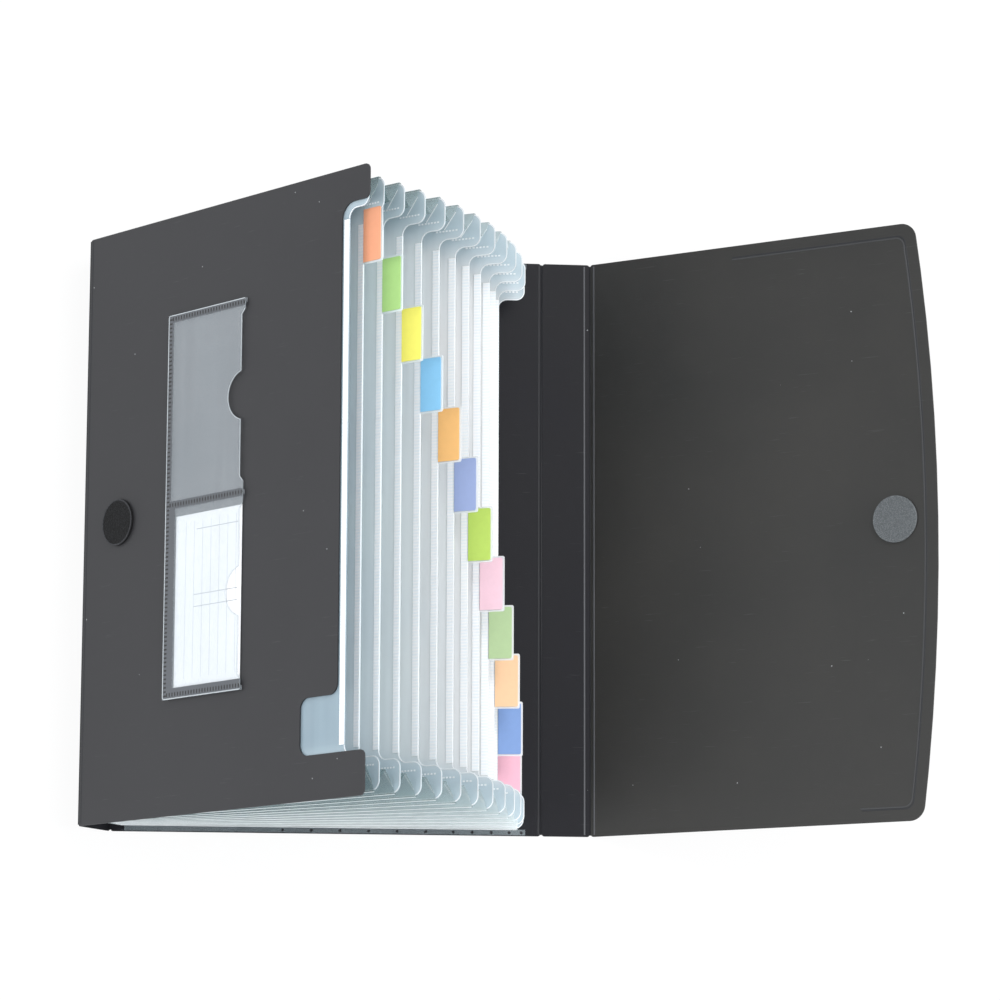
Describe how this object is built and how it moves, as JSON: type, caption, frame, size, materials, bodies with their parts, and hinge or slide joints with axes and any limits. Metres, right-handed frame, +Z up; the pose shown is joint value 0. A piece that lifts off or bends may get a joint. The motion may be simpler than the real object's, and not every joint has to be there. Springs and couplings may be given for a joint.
{
  "type": "expanding document file",
  "caption": "Black plastic expanding file standing open: fanned clear pockets with coloured index tabs, a front cover with a card pocket, and a flap with a round fastener.",
  "frame": {"origin": "centre of the back cover's outer face, which lies on the table", "axes": "+X runs from the hinge side to the flap, +Y along the file's long edge towards its first tab, +Z up from the back cover"},
  "size_m": [0.4607, 0.33, 0.213],
  "materials": {
    "cover": "fine-grained black sheet plastic",
    "spine": "fine-grained black sheet plastic",
    "flap": "fine-grained black sheet plastic",
    "film": "milky clear sheet plastic",
    "gusset_film": "thin milky film",
    "card_film": "thin clear film",
    "card": "white card, plain",
    "hook": "hook pile",
    "loop": "loop pile",
    "tab_1": "plain coloured card",
    "tab_2": "plain coloured card",
    "tab_3": "plain coloured card",
    "tab_4": "plain coloured card",
    "tab_5": "plain coloured card",
    "tab_6": "plain coloured card",
    "tab_7": "plain coloured card",
    "tab_8": "plain coloured card",
    "tab_9": "plain coloured card",
    "tab_10": "plain coloured card",
    "tab_11": "plain coloured card",
    "tab_12": "plain coloured card"
  },
  "bodies": {
    "back": {"back_cover": "cover", "pocket_wall_13": "film", "index_tab_12": "tab_12", "gusset_top": "gusset_film", "gusset_bottom": "gusset_film"},
    "hinge_side": {"hinge_spine": "spine"},
    "front": {"front_cover": "cover", "hook_dot": "hook", "card_pocket": "card_film", "label_card": "card", "pocket_wall_1": "film"},
    "closing_side": {"closing_spine": "spine"},
    "flap": {"flap": "flap", "loop_dot": "loop"},
    "wall_2": {"pocket_wall_2": "film", "index_tab_1": "tab_1"},
    "wall_3": {"pocket_wall_3": "film", "index_tab_2": "tab_2"},
    "wall_4": {"pocket_wall_4": "film", "index_tab_3": "tab_3"},
    "wall_5": {"pocket_wall_5": "film", "index_tab_4": "tab_4"},
    "wall_6": {"pocket_wall_6": "film", "index_tab_5": "tab_5"},
    "wall_7": {"pocket_wall_7": "film", "index_tab_6": "tab_6"},
    "wall_8": {"pocket_wall_8": "film", "index_tab_7": "tab_7"},
    "wall_9": {"pocket_wall_9": "film", "index_tab_8": "tab_8"},
    "wall_10": {"pocket_wall_10": "film", "index_tab_9": "tab_9"},
    "wall_11": {"pocket_wall_11": "film", "index_tab_10": "tab_10"},
    "wall_12": {"pocket_wall_12": "film", "index_tab_11": "tab_11"}
  },
  "joints": [
    {"name": "hinge_spine_fold", "type": "hinge", "parent": "back", "child": "hinge_side", "pos_m": [-0.1205, 0, 0.0004], "axis": [0, 1, 0], "range_deg": [0, 32], "deforming": ["gusset_top", "gusset_bottom"]},
    {"name": "front_cover_fold", "type": "hinge", "parent": "hinge_side", "child": "front", "pos_m": [-0.13746, 0, 0.02754], "axis": [0, 1, 0], "range_deg": [0, 22.15]},
    {"name": "wall_2_fold", "type": "hinge", "parent": "hinge_side", "child": "wall_2", "pos_m": [-0.13488, 0, 0.02512], "axis": [0, 1, 0], "range_deg": [0, 19.41]},
    {"name": "wall_3_fold", "type": "hinge", "parent": "hinge_side", "child": "wall_3", "pos_m": [-0.13355, 0, 0.02298], "axis": [0, 1, 0], "range_deg": [0, 15.87]},
    {"name": "wall_4_fold", "type": "hinge", "parent": "hinge_side", "child": "wall_4", "pos_m": [-0.13222, 0, 0.02085], "axis": [0, 1, 0], "range_deg": [0, 11.93]},
    {"name": "wall_5_fold", "type": "hinge", "parent": "hinge_side", "child": "wall_5", "pos_m": [-0.13088, 0, 0.01871], "axis": [0, 1, 0], "range_deg": [0, 7.71]},
    {"name": "wall_6_fold", "type": "hinge", "parent": "hinge_side", "child": "wall_6", "pos_m": [-0.12955, 0, 0.01658], "axis": [0, 1, 0], "range_deg": [0, 3.28]},
    {"name": "wall_7_fold", "type": "hinge", "parent": "hinge_side", "child": "wall_7", "pos_m": [-0.12821, 0, 0.01445], "axis": [0, 1, 0], "range_deg": [-1.73, 0]},
    {"name": "wall_8_fold", "type": "hinge", "parent": "hinge_side", "child": "wall_8", "pos_m": [-0.12688, 0, 0.01231], "axis": [0, 1, 0], "range_deg": [-6.5, 0]},
    {"name": "wall_9_fold", "type": "hinge", "parent": "hinge_side", "child": "wall_9", "pos_m": [-0.12555, 0, 0.01018], "axis": [0, 1, 0], "range_deg": [-11.42, 0]},
    {"name": "wall_10_fold", "type": "hinge", "parent": "hinge_side", "child": "wall_10", "pos_m": [-0.12422, 0, 0.00804], "axis": [0, 1, 0], "range_deg": [-16.45, 0]},
    {"name": "wall_11_fold", "type": "hinge", "parent": "hinge_side", "child": "wall_11", "pos_m": [-0.12288, 0, 0.00591], "axis": [0, 1, 0], "range_deg": [-21.6, 0]},
    {"name": "wall_12_fold", "type": "hinge", "parent": "hinge_side", "child": "wall_12", "pos_m": [-0.12155, 0, 0.00377], "axis": [0, 1, 0], "range_deg": [-26.85, 0]},
    {"name": "closing_spine_fold", "type": "hinge", "parent": "back", "child": "closing_side", "pos_m": [0.1205, 0, 0.0004], "axis": [0, -1, 0], "range_deg": [0, 90.2]},
    {"name": "flap_fold", "type": "hinge", "parent": "closing_side", "child": "flap", "pos_m": [0.1485, 0, 0.0004], "axis": [0, -1, 0], "range_deg": [-36, 52.05]}
  ],
  "couplings": [
    {"joint": "front_cover_fold", "follows": "hinge_spine_fold", "ratio": 0.68593},
    {"joint": "wall_2_fold", "follows": "hinge_spine_fold", "ratio": 0.60046},
    {"joint": "wall_3_fold", "follows": "hinge_spine_fold", "ratio": 0.48957},
    {"joint": "wall_4_fold", "follows": "hinge_spine_fold", "ratio": 0.36651},
    {"joint": "wall_5_fold", "follows": "hinge_spine_fold", "ratio": 0.23481},
    {"joint": "wall_6_fold", "follows": "hinge_spine_fold", "ratio": 0.096293},
    {"joint": "wall_7_fold", "follows": "hinge_spine_fold", "ratio": -0.047912},
    {"joint": "wall_8_fold", "follows": "hinge_spine_fold", "ratio": -0.19703},
    {"joint": "wall_9_fold", "follows": "hinge_spine_fold", "ratio": -0.35047},
    {"joint": "wall_10_fold", "follows": "hinge_spine_fold", "ratio": -0.50782},
    {"joint": "wall_11_fold", "follows": "hinge_spine_fold", "ratio": -0.6687},
    {"joint": "wall_12_fold", "follows": "hinge_spine_fold", "ratio": -0.83284},
    {"joint": "closing_spine_fold", "follows": "hinge_spine_fold", "ratio": 2.8125}
  ]
}
